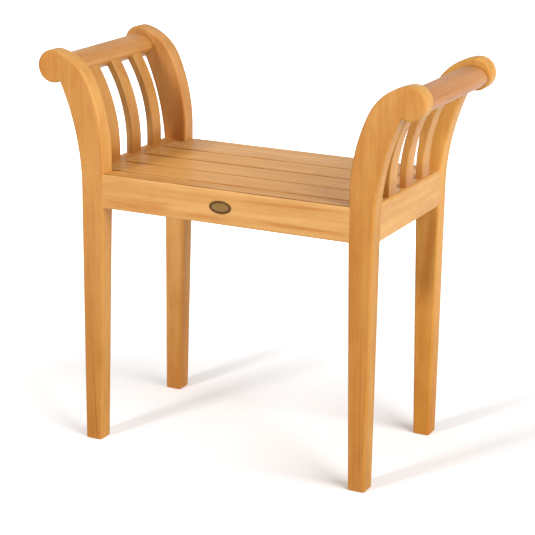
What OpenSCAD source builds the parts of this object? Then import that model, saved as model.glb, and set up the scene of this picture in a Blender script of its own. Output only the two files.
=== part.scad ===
// Slatted teak bench with two scrolled arms, built with mortise and tenon joints.
// Origin: the middle of the floor under the bench. +X runs along the seat, +Y to the back, +Z up.
// Each piece is drawn for the right-hand side or the middle, and mirrored where the left needs it.

/* [Seat] */
// Height of the seat's top face above the floor
seat_h = 450; // [430:1:480]
// Width of the frame over the outer faces of the posts
frame_w = 502.5; // [470:0.5:540]
// Depth of the frame over the front and back faces of the posts
frame_d = 300; // [290:1:330]
// Height of the aprons and side rails
apron_h = 56; // [52:1:64]
// Thickness of the two aprons
apron_t = 30; // [28:0.5:30]
// Thickness of the two side rails
rail_t = 23.5; // [22:0.5:27]
// How far the outer edge of a side rail's sloping top stands above the seat boards
rail_proud = 4.5; // [0:0.5:6]
// Thickness of the seat boards
board_t = 18; // [16:1:20]
// Width of each of the three narrow seat slats
slat_w = 58.5; // [54:0.5:60]
// Open gap between two seat boards
slat_gap = 3.5; // [2:0.5:5]

/* [Posts] */
// Width of a post's front face at the seat
post_w = 40.75; // [38:0.25:44]
// Thickness of a post from front to back
post_t = 30; // [29:1:36]
// Width of a post's front face at the floor
foot_w = 29; // [24:0.5:34]
// How far the outer edge of a leg draws in from apron to floor
foot_draw = 2; // [0:0.5:4]

/* [Arms] */
// Height of the scroll's centre above the seat
scroll_rise = 162.5; // [158:0.5:166]
// Distance of the scroll's centre outside the frame's outer face
scroll_out = 50.25; // [47:0.25:53]
// Radius of the scroll at the top of a post
scroll_r = 26.25; // [25:0.25:28]
// Radius of the hollow outer curve of a post
outer_curve_r = 395; // [380:1:410]
// Radius of the lower inner curve of a post
inner_curve_r = 282; // [272:1:292]
// Radius of the shoulder that leads into the scroll
shoulder_r = 84.5; // [80:0.5:89]
// Width of the oval arm rail
arm_rail_w = 52; // [50:0.5:56]
// Height of the oval arm rail
arm_rail_h = 37.5; // [34:0.5:39]
// Radius at the two ends of the oval
arm_rail_end_r = 12; // [10:0.5:14]
// Thickness of an arm slat
arm_slat_t = 12.5; // [10:0.5:13]
// Width of an arm slat
arm_slat_w = 29; // [24:1:32]
// Radius of an arm slat's curve, along its middle
arm_slat_curve_r = 243; // [238:0.5:252]

/* [Plaque] */
// Width of the oval plaque on the front apron
plaque_w = 38; // [30:1:44]
// Height of the oval plaque
plaque_h = 21; // [16:1:26]
// Thickness of the plaque
plaque_t = 1.2; // [0.8:0.1:1.2]
// Distance of the plaque from the middle of the apron, along the seat
plaque_x = -3; // [-20:1:20]

/* [Joints] */
// Thickness of every flat tenon
tenon_t = 10; // [8:1:11]
// Length of the apron and side rail tenons
tenon_l = 20; // [16:1:20]
// Radius of the round tenon at each end of an arm rail
arm_tenon_r = 9; // [7:0.5:10]
// Radius of a wooden peg or dowel
peg_r = 3.5; // [3:0.5:4]
// Gap left for glue on each side of a tenon, a peg or a screw
glue_gap = 0.1; // [0.05:0.05:0.2]

/* [Hidden] */

$fn = 96;
far = 400;            // reach of a cutting wedge, longer than any curve it trims
through = 1;          // how far a cutter runs past the face that it opens

teak_post = [0.85, 0.60, 0.33];
teak_board = [0.92, 0.69, 0.43];
teak_seat = [0.86, 0.65, 0.45];
teak_slat = [0.84, 0.60, 0.33];
teak_hidden = [0.72, 0.50, 0.30];
stainless = [0.75, 0.75, 0.76];
bronze = [0.30, 0.22, 0.10];

// Frame
frame_x = frame_w / 2;                    // outer face of the posts
frame_y = frame_d / 2;                    // front and back faces of the posts
post_in_x = frame_x - post_w;             // inner face of the posts
post_in_y = frame_y - post_t;             // face of the posts that looks along the seat's depth
apron_z = seat_h - apron_h;               // underside of aprons and side rails
apron_set = 0.5;                          // aprons stand this far inside the posts' faces
apron_y = frame_y - apron_set;            // outer face of the aprons
apron_in_y = apron_y - apron_t;           // inner face of the aprons
rail_set = 0.5;                           // side rails stand this far inside the posts' faces
rail_x = frame_x - rail_set;              // outer face of the side rails
rail_in_x = rail_x - rail_t;              // inner face of the side rails
rail_top = seat_h + rail_proud;           // outer edge of the side rails' sloping tops
board_z = seat_h - board_t;               // underside of the seat boards

// Post outline, in the plane of X and Z
scroll_c = [frame_x + scroll_out, seat_h + scroll_rise];
outer_start_z = seat_h - 28.5;            // where the outer edge begins to curve
inner_start_z = seat_h + 23;              // where the inner edge begins to curve
outer_c = [frame_x + outer_curve_r, outer_start_z];
inner_c = [post_in_x + inner_curve_r, inner_start_z];
// The shoulder's centre lies on a ray from inner_c, so that the two curves share a tangent, and
// at shoulder_r - scroll_r from the scroll's centre, so that it runs into the scroll smoothly.
centre_step = inner_curve_r - shoulder_r;
to_scroll = scroll_c - inner_c;
along_ray = (centre_step ^ 2 + norm(to_scroll) ^ 2 - (shoulder_r - scroll_r) ^ 2) / (2 * centre_step);
ray_angle = atan2(to_scroll.y, to_scroll.x) + acos(along_ray / norm(to_scroll));
shoulder_c = inner_c + centre_step * [cos(ray_angle), sin(ray_angle)];
overlap_angle = 20;                       // the shoulder's disc lies wholly inside the lower one here
to_head = scroll_c - shoulder_c;
head_angle = atan2(to_head.y, to_head.x);

// Arm rail and arm slats
arm_c = scroll_c - [3.25, 4];             // middle of the oval, a little inside and below the scroll's
arm_slat_x = frame_x - 10;                // middle of a slat where it stands on the side rail
arm_slat_bend_z = seat_h + 19.5;          // where a slat begins to curve
arm_slat_c = [arm_slat_x + arm_slat_curve_r, arm_slat_bend_z];
arm_slat_pitch = (2 * post_in_y + arm_slat_w) / 4;
arm_slat_top_z = seat_h + scroll_rise - 4;        // end of the slat inside the arm rail
arm_slat_tenon_l = 15;
arm_slat_tenon_t = 8;
arm_slat_tenon_w = 20;
arm_tenon_l = 16;

// Seat boards
slats_from_y = -apron_in_y + slat_gap + 0.5;
slat_pitch = slat_w + slat_gap;
board_end_gap = 0.3;
board_end_x = rail_in_x - board_end_gap;
back_board_y = slats_from_y + 3 * slat_pitch;

// Cleats, batten and their screws
cleat_w = 20;
cleat_h = 18;
cleat_z = board_z - cleat_h;
cleat_half_l = min(post_in_y, apron_in_y) - 0.5;
batten_w = 40;
batten_tenon_l = 8;
batten_tenon_w = 24;
screw_r = 2;
screw_head_r = 4;
screw_head_h = 2.6;
slat_screw_l = 30;
cleat_screw_l = 34;
screw_edge = 14;                          // screw's distance from the edges of a seat board
cleat_screw_ys = [-88, 7, 95];
cleat_screw_z = cleat_z + cleat_h / 2;
seat_screw_ys = [
    for (i = [0:2]) for (e = [screw_edge, slat_w - screw_edge]) slats_from_y + i * slat_pitch + e,
    back_board_y + screw_edge, post_in_y - screw_edge
];
cleat_screw_x = rail_in_x - cleat_w / 2;
batten_screw_ys = [for (i = [0:2]) slats_from_y + i * slat_pitch + slat_w / 2, back_board_y + 24];

// Tenons, pegs and dowels
tenon_margin = 6;                         // shoulder above and below an apron tenon
apron_tenon_y = (apron_y + apron_in_y) / 2;
rail_tenon_x = frame_x - 10;
peg_x = post_in_x + tenon_l / 2;
peg_zs = [apron_z + 13, seat_h - 13];
back_peg_zs = [apron_z + 13, board_z - 10];
peg_l = post_t - 7;
dowel_xs = [-150, 0, 150];
dowel_depth = 12;

// Plaque
plaque_z = apron_z + apron_h / 2;
plaque_pocket = 0.4;                      // the plaque sits this deep in the apron
plaque_rim_w = 1.4;
plaque_rim_h = 0.4;
pin_r = 0.9;
pin_l = 8;
pin_x = plaque_w / 2 - 5;

// Height of a side rail's top, which slopes down to the seat boards.
function rail_top_z(x) = seat_h + rail_proud * (x - rail_in_x) / rail_t;

// Puts a shape drawn in X and Z into space, from y0 to y1.
module along_y(y0, y1) {
    translate([0, y1, 0]) rotate([90, 0, 0]) linear_extrude(y1 - y0) children();
}

// A block between two opposite corners.
module box(from, to) {
    translate(from) cube(to - from);
}

// A slice of a disc about c, between two directions.
module slice(c, r, a0, a1) {
    intersection() {
        translate(c) circle(r);
        polygon([
            c,
            c + far * [cos(a0), sin(a0)],
            c + far * [cos((a0 + a1) / 2), sin((a0 + a1) / 2)],
            c + far * [cos(a1), sin(a1)]
        ]);
    }
}

// Outline of a right-hand post, in X and Z.
module post_outline() {
    polygon([
        [frame_x - foot_draw - foot_w, 0], [frame_x - foot_draw, 0],
        [frame_x, apron_z], [frame_x, outer_start_z],
        [post_in_x, inner_start_z], [post_in_x, apron_z]
    ]);
    difference() {
        union() {
            translate([post_in_x, outer_start_z]) square([post_w + 20, inner_start_z - outer_start_z]);
            slice(inner_c, inner_curve_r, ray_angle, 180);
            slice(shoulder_c, shoulder_r, head_angle, ray_angle + overlap_angle);
        }
        translate(outer_c) circle(outer_curve_r, $fn = 360);
    }
    translate(scroll_c) circle(scroll_r);
}

// Outline of the oval arm rail about its own middle: two end circles joined by two flatter arcs.
module arm_oval() {
    end_c = arm_rail_w / 2 - arm_rail_end_r;
    drop = (end_c ^ 2 - (arm_rail_h / 2 - arm_rail_end_r) ^ 2) / (arm_rail_h - 2 * arm_rail_end_r);
    flat_r = arm_rail_h / 2 + drop;
    touch_x = end_c * flat_r / (flat_r - arm_rail_end_r);
    intersection() {
        translate([0, -drop]) circle(flat_r);
        translate([0, drop]) circle(flat_r);
        square([2 * touch_x, arm_rail_h], center = true);
    }
    for (s = [-1, 1]) translate([s * end_c, 0]) circle(arm_rail_end_r);
}

// Outline of a right-hand arm slat, in X and Z, grown by extra on each face.
module arm_slat_outline(extra = 0) {
    half_t = arm_slat_t / 2 + extra;
    polygon([
        [arm_slat_x - half_t, rail_top_z(arm_slat_x - half_t)],
        [arm_slat_x + half_t, rail_top_z(arm_slat_x + half_t)],
        [arm_slat_x + half_t, arm_slat_bend_z],
        [arm_slat_x - half_t, arm_slat_bend_z]
    ]);
    intersection() {
        difference() {
            translate(arm_slat_c) circle(arm_slat_curve_r + half_t, $fn = 180);
            translate(arm_slat_c) circle(arm_slat_curve_r - half_t, $fn = 180);
        }
        translate([arm_slat_x - half_t, arm_slat_bend_z])
            square([arm_slat_curve_r / 2, arm_slat_top_z + extra - arm_slat_bend_z]);
    }
}

// Tenon of an apron, or its mortise when grown by extra.
module apron_tenon(top_z, extra = 0) {
    box([post_in_x - through, apron_tenon_y - tenon_t / 2 - extra, apron_z + tenon_margin - extra],
        [post_in_x + tenon_l + extra, apron_tenon_y + tenon_t / 2 + extra, top_z - tenon_margin + extra]);
}

// Tenon of a side rail, or its mortise when grown by extra.
module rail_tenon(extra = 0) {
    box([rail_tenon_x - tenon_t / 2 - extra, post_in_y - through, apron_z + tenon_margin - extra],
        [rail_tenon_x + tenon_t / 2 + extra, post_in_y + tenon_l + extra, seat_h - tenon_margin + extra]);
}

// Round tenon at the back end of an arm rail, or its socket when grown by extra.
module arm_tenon(extra = 0) {
    translate([arm_c.x, post_in_y - through, arm_c.y]) rotate([-90, 0, 0])
        cylinder(r = arm_tenon_r + extra, h = arm_tenon_l + through + extra);
}

// Pegs that lock an apron's tenon in a back right post, or their holes when grown by extra.
module pegs(zs, extra = 0) {
    for (z = zs) translate([peg_x, post_in_y, z]) rotate([-90, 0, 0])
        cylinder(r = peg_r + extra, h = peg_l + extra, $fn = 32);
}

// A post at the back right, with its mortises and peg holes.
module corner_post(apron_top_z, zs) {
    difference() {
        along_y(post_in_y, frame_y) post_outline();
        apron_tenon(apron_top_z, glue_gap);
        rail_tenon(glue_gap);
        arm_tenon(glue_gap);
        pegs(zs, glue_gap);
    }
}

module front_post() {
    mirror([0, 1, 0]) corner_post(seat_h, peg_zs);
}

module back_post() {
    corner_post(board_z, back_peg_zs);
}

module post_front_left() {
    color(teak_post) mirror([1, 0, 0]) front_post();
}

module post_front_right() {
    color(teak_post) front_post();
}

module post_back_left() {
    color(teak_post) mirror([1, 0, 0]) back_post();
}

module post_back_right() {
    color(teak_post) back_post();
}

// An apron at the back, with its two tenons, their peg holes and the mortise for the centre batten.
module apron(top_z, zs) {
    difference() {
        union() {
            box([-post_in_x, apron_in_y, apron_z], [post_in_x, apron_y, top_z]);
            for (s = [0, 1]) mirror([s, 0, 0]) apron_tenon(top_z);
        }
        for (s = [0, 1]) mirror([s, 0, 0]) pegs(zs, glue_gap);
        batten_tenon(glue_gap);
    }
}

module front_apron() {
    color(teak_board) difference() {
        mirror([0, 1, 0]) apron(seat_h, peg_zs);
        plaque_blank(plaque_pocket + glue_gap, -apron_y - through, through + plaque_pocket);
        plaque_pin_pair(glue_gap);
    }
}

module back_apron() {
    color(teak_board) difference() {
        apron(board_z, back_peg_zs);
        back_dowels(glue_gap);
    }
}

// A right-hand side rail, with tenons at both ends and mortises for the arm slats and cleat screws.
module side_rail() {
    difference() {
        union() {
            along_y(-post_in_y, post_in_y) polygon([
                [rail_in_x, apron_z], [rail_x, apron_z], [rail_x, rail_top], [rail_in_x, seat_h]
            ]);
            for (s = [0, 1]) mirror([0, s, 0]) rail_tenon();
        }
        for (i = [-1:1]) arm_slat_foot(i, glue_gap);
        cleat_screws(glue_gap);
    }
}

module side_rail_left() {
    color(teak_board) mirror([1, 0, 0]) side_rail();
}

module side_rail_right() {
    color(teak_board) side_rail();
}

// A right-hand arm rail, with a round tenon at each end and a socket for each slat.
module arm_rail() {
    difference() {
        union() {
            along_y(-post_in_y, post_in_y) translate(arm_c) arm_oval();
            for (s = [0, 1]) mirror([0, s, 0]) arm_tenon();
        }
        for (i = [-1:1]) arm_slat_body(i, glue_gap);
    }
}

module arm_rail_left() {
    color(teak_slat) mirror([1, 0, 0]) arm_rail();
}

module arm_rail_right() {
    color(teak_slat) arm_rail();
}

// Tenon under arm slat number i (-1 front, 0 middle, 1 back), or its mortise when grown by extra.
module arm_slat_foot(i, extra = 0) {
    translate([arm_slat_x, i * arm_slat_pitch, rail_top + (through - arm_slat_tenon_l - extra) / 2])
        cube([
            arm_slat_tenon_t + 2 * extra,
            arm_slat_tenon_w + 2 * extra,
            arm_slat_tenon_l + through + extra
        ], center = true);
}

// The part of arm slat number i above the side rail, grown by extra.
module arm_slat_body(i, extra = 0) {
    along_y(i * arm_slat_pitch - arm_slat_w / 2 - extra, i * arm_slat_pitch + arm_slat_w / 2 + extra)
        arm_slat_outline(extra);
}

module arm_slat(i) {
    arm_slat_body(i);
    arm_slat_foot(i);
}

module arm_slat_left_front() {
    color(teak_slat) mirror([1, 0, 0]) arm_slat(-1);
}

module arm_slat_left_middle() {
    color(teak_slat) mirror([1, 0, 0]) arm_slat(0);
}

module arm_slat_left_back() {
    color(teak_slat) mirror([1, 0, 0]) arm_slat(1);
}

module arm_slat_right_front() {
    color(teak_slat) arm_slat(-1);
}

module arm_slat_right_middle() {
    color(teak_slat) arm_slat(0);
}

module arm_slat_right_back() {
    color(teak_slat) arm_slat(1);
}

// Seat slat number i, counted from the front, drilled from below for its screws.
module seat_slat(i) {
    y0 = slats_from_y + i * slat_pitch;
    difference() {
        box([-board_end_x, y0, board_z], [board_end_x, y0 + slat_w, seat_h]);
        all_seat_screws(glue_gap);
    }
}

module seat_slat_front() {
    color(teak_seat) seat_slat(0);
}

module seat_slat_middle() {
    color(teak_seat) seat_slat(1);
}

module seat_slat_rear() {
    color(teak_seat) seat_slat(2);
}

// The wide board at the back of the seat, notched round the back posts.
module seat_back_board() {
    notch_x = post_in_x - board_end_gap;
    color(teak_seat) difference() {
        union() {
            box([-board_end_x, back_board_y, board_z], [board_end_x, post_in_y - board_end_gap, seat_h]);
            box([-notch_x, back_board_y, board_z], [notch_x, apron_y, seat_h]);
        }
        all_seat_screws(glue_gap);
        back_dowels(glue_gap);
    }
}

// A cleat along the inner face of the right-hand side rail, which carries the ends of the boards.
module seat_cleat() {
    difference() {
        box([rail_in_x - cleat_w, -cleat_half_l, cleat_z], [rail_in_x, cleat_half_l, board_z]);
        seat_screws(cleat_screw_x, seat_screw_ys, cleat_z, glue_gap);
        cleat_screws(glue_gap);
    }
}

module seat_cleat_left() {
    color(teak_hidden) mirror([1, 0, 0]) seat_cleat();
}

module seat_cleat_right() {
    color(teak_hidden) seat_cleat();
}

// Tenon at the back end of the centre batten, or its mortise when grown by extra.
module batten_tenon(extra = 0) {
    box([-batten_tenon_w / 2 - extra, apron_in_y - through, cleat_z + 4 - extra],
        [batten_tenon_w / 2 + extra, apron_in_y + batten_tenon_l + extra, board_z - 4 + extra]);
}

module centre_batten() {
    color(teak_hidden) difference() {
        union() {
            box([-batten_w / 2, -apron_in_y, cleat_z], [batten_w / 2, apron_in_y, board_z]);
            for (s = [0, 1]) mirror([0, s, 0]) batten_tenon();
        }
        seat_screws(0, batten_screw_ys, cleat_z, glue_gap);
    }
}

// A countersunk screw that starts at the origin and points along +Z, or its hole when grown by extra.
module screw(length, extra = 0) {
    cylinder(r = screw_r + extra, h = length + extra, $fn = 24);
    translate([0, 0, -extra])
        cylinder(r1 = screw_head_r + extra, r2 = screw_r + extra, h = screw_head_h + extra, $fn = 24);
}

// Screws that rise from a cleat or the batten into the seat boards.
module seat_screws(x, ys, z, extra = 0) {
    for (y = ys) translate([x, y, z]) screw(slat_screw_l, extra);
}

module all_seat_screws(extra = 0) {
    for (s = [-1, 1]) seat_screws(s * cleat_screw_x, seat_screw_ys, cleat_z, extra);
    seat_screws(0, batten_screw_ys, cleat_z, extra);
}

// Screws that fix the right-hand cleat to its side rail.
module cleat_screws(extra = 0) {
    for (y = cleat_screw_ys) translate([rail_in_x - cleat_w, y, cleat_screw_z])
        rotate([0, 90, 0]) screw(cleat_screw_l, extra);
}

module slat_screws_left() {
    color(stainless) seat_screws(-cleat_screw_x, seat_screw_ys, cleat_z);
}

module slat_screws_right() {
    color(stainless) seat_screws(cleat_screw_x, seat_screw_ys, cleat_z);
}

module slat_screws_centre() {
    color(stainless) seat_screws(0, batten_screw_ys, cleat_z);
}

module cleat_screws_left() {
    color(stainless) mirror([1, 0, 0]) cleat_screws();
}

module cleat_screws_right() {
    color(stainless) cleat_screws();
}

module apron_pegs() {
    color(teak_hidden) for (s = [0, 1]) mirror([s, 0, 0]) {
        pegs(back_peg_zs);
        mirror([0, 1, 0]) pegs(peg_zs);
    }
}

// Dowels between the back apron and the wide back board, or their holes when grown by extra.
module back_dowels(extra = 0) {
    for (x = dowel_xs) translate([x, apron_tenon_y, board_z - dowel_depth - extra])
        cylinder(r = peg_r + extra, h = 2 * (dowel_depth + extra), $fn = 32);
}

module back_board_dowels() {
    color(teak_hidden) back_dowels();
}

// Oval blank of the plaque, grown by extra all round, standing on the plane y0 with thickness t.
module plaque_blank(extra, y0, t) {
    along_y(y0, y0 + t) translate([plaque_x, plaque_z]) plaque_oval(extra - plaque_pocket);
}

// Outline of the plaque: two end circles joined by two flatter arcs.
module plaque_oval(grow = 0) {
    end_r = plaque_h / 3;
    end_c = plaque_w / 2 - end_r;
    drop = (end_c ^ 2 - (plaque_h / 2 - end_r) ^ 2) / (plaque_h - 2 * end_r);
    flat_r = plaque_h / 2 + drop;
    touch_x = end_c * flat_r / (flat_r - end_r);
    intersection() {
        translate([0, -drop]) circle(flat_r + grow);
        translate([0, drop]) circle(flat_r + grow);
        square([2 * touch_x, plaque_h + 2 * grow], center = true);
    }
    for (s = [-1, 1]) translate([s * end_c, 0]) circle(end_r + grow);
}

// Pins behind the plaque, or their holes when grown by extra.
module plaque_pin_pair(extra = 0) {
    for (s = [-1, 1]) translate([plaque_x + s * pin_x, plaque_pocket - apron_y, plaque_z])
        rotate([-90, 0, 0]) cylinder(r = pin_r + extra, h = pin_l + extra, $fn = 24);
}

// A blank oval plate with a raised rim, let into the front apron.
module plaque() {
    y0 = plaque_pocket - apron_y - plaque_t;
    color(bronze) difference() {
        plaque_blank(plaque_pocket, y0, plaque_t);
        plaque_blank(plaque_pocket - plaque_rim_w, y0 - through, through + plaque_rim_h);
    }
}

module plaque_pins() {
    color(bronze) plaque_pin_pair();
}

post_front_left();
post_front_right();
post_back_left();
post_back_right();
front_apron();
back_apron();
side_rail_left();
side_rail_right();
arm_rail_left();
arm_rail_right();
arm_slat_left_front();
arm_slat_left_middle();
arm_slat_left_back();
arm_slat_right_front();
arm_slat_right_middle();
arm_slat_right_back();
seat_slat_front();
seat_slat_middle();
seat_slat_rear();
seat_back_board();
seat_cleat_left();
seat_cleat_right();
centre_batten();
slat_screws_left();
slat_screws_right();
slat_screws_centre();
cleat_screws_left();
cleat_screws_right();
apron_pegs();
back_board_dowels();
plaque();
plaque_pins();
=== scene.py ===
"""A slatted teak bench with two scrolled arms: softened timber, oil, a plaque, floor, lights and camera.

Lengths are in metres and angles in degrees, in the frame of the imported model. The origin is on the floor
under the middle of the bench, +X runs along the seat, +Y to its back and +Z up.
"""
import functools
import logging
import math
from dataclasses import dataclass
from enum import Enum
from typing import Any, Protocol, Sequence

import bmesh
import bpy
from mathutils import Euler, Matrix, Vector


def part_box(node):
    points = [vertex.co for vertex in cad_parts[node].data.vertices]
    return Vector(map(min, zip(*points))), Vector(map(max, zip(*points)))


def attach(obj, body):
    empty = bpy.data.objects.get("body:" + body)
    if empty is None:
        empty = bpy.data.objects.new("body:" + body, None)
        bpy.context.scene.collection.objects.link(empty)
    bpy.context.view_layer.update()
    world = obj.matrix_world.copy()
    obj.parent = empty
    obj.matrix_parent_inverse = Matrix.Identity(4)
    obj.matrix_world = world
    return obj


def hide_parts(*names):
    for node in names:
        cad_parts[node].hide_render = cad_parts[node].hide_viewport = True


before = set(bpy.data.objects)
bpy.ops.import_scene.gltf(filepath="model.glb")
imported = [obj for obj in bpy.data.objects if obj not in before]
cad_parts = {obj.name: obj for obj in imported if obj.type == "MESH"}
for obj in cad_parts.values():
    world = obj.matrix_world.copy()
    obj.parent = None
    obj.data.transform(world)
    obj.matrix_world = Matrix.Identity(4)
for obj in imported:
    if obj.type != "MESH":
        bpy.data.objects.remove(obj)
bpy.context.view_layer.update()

Colour = tuple[float, float, float]
Place = tuple[float, float, float]
Point = tuple[float, float]
ScrewRow = tuple[float, int, float]  # Y of its first screw, how many it has, and from one to the next

ROOT = "root"
PLANK = "plank"  # attribute that numbers the boards of a group
MIX_FACTOR, MIX_A, MIX_B, MIX_RESULT = 0, 6, 7, 2  # a Mix node's sockets when it mixes colours
ORIGIN = (0.0, 0.0, 0.0)
MERGE = 1e-6  # points nearer to each other than this are one
EDGE_CELLS = 4  # cells in each half of a block's rounded edge
SLAT_PITCH = 0.062  # from one seat slat to the next
POST_FACE_Y = 0.120  # inner faces of the front and back posts, from the middle

# Wood next to a board's mean tone, and tints that multiply it; the last five tints are painted shade
EARLY_WOOD, LATE_WOOD = Vector((1.08, 1.12, 1.20)), Vector((0.86, 0.76, 0.62))
PORE_TINT = (0.40, 0.24, 0.12)
BOARD_TINT = (0.90, 0.84, 0.78)  # the darkest board of a group
HEART_TINT = (0.84, 0.66, 0.40)  # a streak of heartwood
GLUED_TINT = (0.97, 0.88, 0.78)  # the lamination beyond a glue line
SEAM_TINT = (0.45, 0.30, 0.18)  # the glue line
GROOVE_SHADE_TINT = (0.42, 0.30, 0.20)  # painted shade on the rounded edges, in the grooves between boards
END_SHADOW_TINT = (0.36, 0.26, 0.18)  # painted shadow at a board's left end, under the left arm
JOINT_SHADE_TINT = (0.55, 0.42, 0.30)  # painted shade where a rail meets a post
TOP_SHADE_TINT = (0.92, 0.85, 0.56)  # painted shade on the top of a board that has the painted edge line
EDGE_SHADE_TINT = (0.36, 0.23, 0.12)  # painted dark line of shade along a board's upper front edge

RING_WANDER = (0.034, 0.022)  # how far growth rings stray in long waves, on both axes across the grain
RING_SWAY = 0.003  # how far they stray in short waves
RING_SHAKE = 0.9  # the same, in rings
BAND_WANDER = 0.012  # how far a streak of heartwood strays
END_SHADOW_FULL, END_SHADOW_END = -0.21, -0.12  # X at which the painted shadow at a board's left end begins to thin, and where it ends
JOINT_SHADE_REACH = 0.009  # how far the painted shade reaches along a rail from the post it meets
FACE_SHADE_STEP = 0.02  # half of the height over which a face's painted shade sets in
FACE_SHADE_FADE = 0.22  # height over which it fades
FIBRE_RELIEF, BRONZE_RELIEF, STEEL_RELIEF = 0.00012, 0.00006, 0.00002

log = logging.getLogger("bench")


class Side(Enum):
    """A half of the bench, with the sign of its X."""

    LEFT = -1
    RIGHT = 1

    @property
    def word(self) -> str:
        """The side's name, as node names spell it."""
        return self.name.lower()


class Grain(Enum):
    """The direction that a piece's fibres run in, as the turn that brings it to +Z."""

    ALONG_X = (0.0, -90.0, 0.0)
    ALONG_Y = (90.0, 0.0, 0.0)
    ALONG_Z = (0.0, 0.0, 0.0)

    @property
    def turn(self) -> tuple[float, ...]:
        """The turn as an Euler rotation in radians."""
        return tuple(math.radians(angle) for angle in self.value)


class Edges(Enum):
    """How a piece's rounded edges are told from its faces."""

    BOARD = "flat faces square to the axes"
    SWEPT = "flat faces square to Y, and curved walls along Y"


def linear(red: int, green: int, blue: int) -> Colour:
    """Turns a colour as a screen shows it into the linear colour that a shader takes.

    Args:
        red: Red from 0 to 255.
        green: Green from 0 to 255.
        blue: Blue from 0 to 255.

    Returns:
        The linear colour, from 0 to 1.
    """
    def channel(value: int) -> float:
        """One channel, by the screen's own curve."""
        share = value / 255
        return share / 12.92 if share <= 0.04045 else ((share + 0.055) / 1.055) ** 2.4

    return channel(red), channel(green), channel(blue)


class Value:
    """A number socket on which Python's operators add Math nodes."""

    def __init__(self, graph: "Graph", socket: bpy.types.NodeSocket) -> None:
        """Wraps a socket of a graph."""
        self.graph = graph
        self.socket = socket

    def __add__(self, other: Any) -> "Value":
        """self + other."""
        return self.graph.maths("ADD", self, other)

    def __sub__(self, other: Any) -> "Value":
        """self - other."""
        return self.graph.maths("SUBTRACT", self, other)

    def __rsub__(self, other: Any) -> "Value":
        """other - self."""
        return self.graph.maths("SUBTRACT", other, self)

    def __mul__(self, other: Any) -> "Value":
        """self * other."""
        return self.graph.maths("MULTIPLY", self, other)

    def __truediv__(self, other: Any) -> "Value":
        """self / other."""
        return self.graph.maths("DIVIDE", self, other)

    def __rtruediv__(self, other: Any) -> "Value":
        """other / self."""
        return self.graph.maths("DIVIDE", other, self)

    def __pow__(self, other: Any) -> "Value":
        """self ** other."""
        return self.graph.maths("POWER", self, other)

    def __neg__(self) -> "Value":
        """-self."""
        return self * -1.0

    __radd__ = __add__
    __rmul__ = __mul__


class Graph:
    """A node tree under construction."""

    def __init__(self, tree: bpy.types.NodeTree) -> None:
        """Wraps an empty or fresh tree."""
        self.tree = tree

    def node(self, kind: str, settings: dict[str, Any] | None = None,
             sockets: dict[Any, Any] | None = None) -> bpy.types.Node:
        """Adds any node.

        Args:
            kind: The node's type.
            settings: Its settings by name, set first.
            sockets: Values or links of its inputs, by name or place.

        Returns:
            The new node.
        """
        node = self.tree.nodes.new(kind)
        for name, value in (settings or {}).items():
            setattr(node, name, value)
        for key, value in (sockets or {}).items():
            self.feed(node.inputs[key], value)
        return node

    def feed(self, socket: bpy.types.NodeSocket, value: Any) -> None:
        """Sets a socket to a plain value, or links it.

        Args:
            socket: The socket.
            value: A Value or another socket to link, or else a plain value. A plain colour is opaque.
        """
        source = value.socket if isinstance(value, Value) else value
        if isinstance(source, bpy.types.NodeSocket):
            self.tree.links.new(source, socket)
        else:
            socket.default_value = (*source, 1.0) if socket.type == "RGBA" else source

    def maths(self, operation: str, first: Any, second: Any = 0.0) -> Value:
        """Adds a Math node and returns its result."""
        node = self.node("ShaderNodeMath", {"operation": operation}, {0: first, 1: second})
        return Value(self, node.outputs[0])

    def vectors(self, operation: str, first: Any, second: Any = ORIGIN, scale: Any = 1.0) -> Any:
        """Adds a Vector Math node and returns its vector."""
        sockets = {0: first, "Scale": scale} if operation == "SCALE" else {0: first, 1: second}
        return self.node("ShaderNodeVectorMath", {"operation": operation}, sockets).outputs[0]

    def split(self, vector: Any) -> tuple[Value, ...]:
        """Splits a vector into its three numbers."""
        parts = self.node("ShaderNodeSeparateXYZ", {}, {0: vector}).outputs
        return tuple(Value(self, part) for part in parts)

    def join(self, x: Any, y: Any, z: Any) -> Any:
        """Joins three numbers into a vector."""
        return self.node("ShaderNodeCombineXYZ", {}, {0: x, 1: y, 2: z}).outputs[0]

    def noise(self, vector: Any, scale: float, detail: float = 2.0, roughness: float = 0.5) -> Value:
        """Adds smooth noise from about 0 to 1 over a vector."""
        sockets = {"Vector": vector, "Scale": scale, "Detail": detail, "Roughness": roughness}
        return Value(self, self.node("ShaderNodeTexNoise", {}, sockets).outputs[0])

    def ramp(self, value: Value, low: float, high: float, to_low: float = 0.0, to_high: float = 1.0) -> Value:
        """Maps a number smoothly from one range to another, and holds it at the ends.

        Args:
            value: The number.
            low: Start of its range.
            high: End of its range.
            to_low: What the start becomes.
            to_high: What the end becomes.

        Returns:
            The mapped number.
        """
        settings = {"interpolation_type": "SMOOTHSTEP"}
        sockets = {0: value, 1: low, 2: high, 3: to_low, 4: to_high}
        return Value(self, self.node("ShaderNodeMapRange", settings, sockets).outputs[0])

    def blend(self, factor: Any, first: Any, second: Any, how: str = "MIX") -> Any:
        """Mixes two colours.

        Args:
            factor: Share of the second colour.
            first: The first colour.
            second: The second colour.
            how: The node's blending mode.

        Returns:
            The mixed colour.
        """
        settings = {"data_type": "RGBA", "blend_type": how}
        sockets = {MIX_FACTOR: factor, MIX_A: first, MIX_B: second}
        return self.node("ShaderNodeMix", settings, sockets).outputs[MIX_RESULT]


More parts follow.
